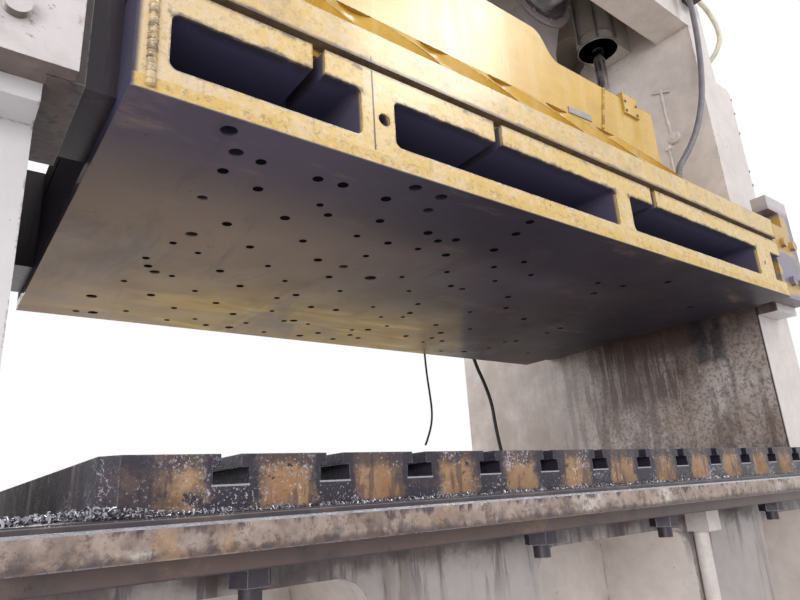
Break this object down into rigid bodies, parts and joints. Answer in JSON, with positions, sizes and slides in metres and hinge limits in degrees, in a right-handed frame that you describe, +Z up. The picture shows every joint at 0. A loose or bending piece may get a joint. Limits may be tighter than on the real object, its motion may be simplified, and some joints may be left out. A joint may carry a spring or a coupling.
{
  "type": "stamping press",
  "caption": "Straight-side stamping press: slotted bolster on a box bed, tie-rod frame, and a guided slide with a drilled riser below eccentric drives.",
  "frame": {"origin": "on the floor under the middle of the frame", "axes": "+Z up, +X to the operator's right, -Y to the front, with the slide at the top of its stroke"},
  "size_m": [3.225, 2.0592, 4.482],
  "materials": {
    "frame_paint": "cream enamel with oil runs and grime",
    "slide_paint": "thick brushed yellow enamel, chipped and oil stained",
    "face_plate_steel": "oiled dark brown machined face",
    "bolster_steel": "rust tan sides, black with oil round the slots",
    "rail_steel": "cream paint worn to bright metal on its top edge",
    "pad_iron": "dark iron",
    "rod_steel": "dull machined steel",
    "bolt_steel": "dark oiled steel",
    "gib_paint": "light grey paint with overspray and grime",
    "liner_iron": "greasy brown machined iron",
    "wear_bar_bronze": "greasy bronze",
    "shaft_steel": "ground steel with an oil film",
    "connecting_rod_paint": "cream paint, greasy",
    "cylinder_paint": "light grey paint",
    "balance_rod_chrome": "chromed rod",
    "flywheel_iron": "turned cast iron",
    "motor_paint": "grey blue paint",
    "belt_rubber": "black belt rubber",
    "guard_paint": "yellow guard paint",
    "pipe_paint": "tan painted pipe with grime",
    "hose_rubber": "grey rubber",
    "cable_rubber": "dark grey sheath",
    "conduit_plastic": "cream sheathed conduit"
  },
  "bodies": {
    "frame": {"bed": "frame_paint", "crown": "frame_paint", "upright_left": "frame_paint", "upright_right": "frame_paint", "crown_cover": "frame_paint", "bearing_caps": "frame_paint", "upright_covers_left": "frame_paint", "upright_covers_right": "frame_paint", "motor_base": "frame_paint", "tank_saddles": "frame_paint", "bolster": "bolster_steel", "bed_rail": "rail_steel", "pad_front_left": "pad_iron", "pad_front_right": "pad_iron", "pad_rear_left": "pad_iron", "pad_rear_right": "pad_iron", "tie_rod_front_left": "rod_steel", "tie_rod_front_right": "rod_steel", "tie_rod_rear_left": "rod_steel", "tie_rod_rear_right": "rod_steel", "bolster_bolts": "bolt_steel", "jack_bolts_left": "bolt_steel", "jack_bolts_right": "bolt_steel", "hose_fittings": "bolt_steel", "grease_line": "bolt_steel", "gib_block_left": "gib_paint", "gib_block_right": "gib_paint", "gib_liners_left": "liner_iron", "gib_liners_right": "liner_iron", "balance_cylinder_left": "cylinder_paint", "balance_cylinder_right": "cylinder_paint", "air_tank": "cylinder_paint", "motor": "motor_paint", "belts": "belt_rubber", "belt_guard": "guard_paint", "cushion_pipe": "pipe_paint", "slide_hose": "hose_rubber", "rear_hose": "hose_rubber", "rear_cable": "cable_rubber", "conduit": "conduit_plastic"},
    "slide": {"slide": "slide_paint", "riser_left": "slide_paint", "riser_right": "slide_paint", "face_plate": "face_plate_steel", "riser_bolts": "bolt_steel", "slide_hatch": "slide_paint", "wear_bars_left": "wear_bar_bronze", "wear_bars_right": "wear_bar_bronze", "balance_rod_left": "balance_rod_chrome", "balance_rod_right": "balance_rod_chrome", "slide_hose_fitting": "bolt_steel"},
    "crank_left": {"eccentric_shaft_left": "shaft_steel"},
    "crank_right": {"eccentric_shaft_right": "shaft_steel"},
    "rod_left": {"connecting_rod_left": "connecting_rod_paint", "wrist_pin_left": "shaft_steel"},
    "rod_right": {"connecting_rod_right": "connecting_rod_paint", "wrist_pin_right": "shaft_steel"},
    "flywheel": {"flywheel": "flywheel_iron"},
    "motor_sheave": {"motor_sheave": "flywheel_iron"}
  },
  "joints": [
    {"name": "slide_travel", "type": "slide", "parent": "frame", "child": "slide", "axis": [0, 0, 1], "range_m": [-0.1524, 0], "deforming": ["slide_hose"]},
    {"name": "crank_left_turn", "type": "hinge", "parent": "frame", "child": "crank_left", "pos_m": [-0.605, -0.345, 3.018], "axis": [0, 1, 0], "continuous": true},
    {"name": "crank_right_turn", "type": "hinge", "parent": "frame", "child": "crank_right", "pos_m": [0.605, -0.345, 3.018], "axis": [0, 1, 0], "continuous": true},
    {"name": "rod_left_swing", "type": "hinge", "parent": "crank_left", "child": "rod_left", "pos_m": [-0.605, -0.345, 3.0942], "axis": [0, 1, 0], "continuous": true},
    {"name": "rod_right_swing", "type": "hinge", "parent": "crank_right", "child": "rod_right", "pos_m": [0.605, -0.345, 3.0942], "axis": [0, 1, 0], "continuous": true},
    {"name": "flywheel_turn", "type": "hinge", "parent": "frame", "child": "flywheel", "pos_m": [0, 0.895, 3.43], "axis": [0, 1, 0], "continuous": true},
    {"name": "motor_turn", "type": "hinge", "parent": "frame", "child": "motor_sheave", "pos_m": [0, 0.895, 4.3], "axis": [0, 1, 0], "continuous": true}
  ],
  "couplings": [
    {"joint": "crank_right_turn", "follows": "crank_left_turn", "ratio": -1},
    {"joint": "rod_left_swing", "follows": "crank_left_turn", "ratio": -1},
    {"joint": "rod_right_swing", "follows": "crank_left_turn", "ratio": 1},
    {"joint": "motor_turn", "follows": "flywheel_turn", "ratio": 4.1667}
  ]
}
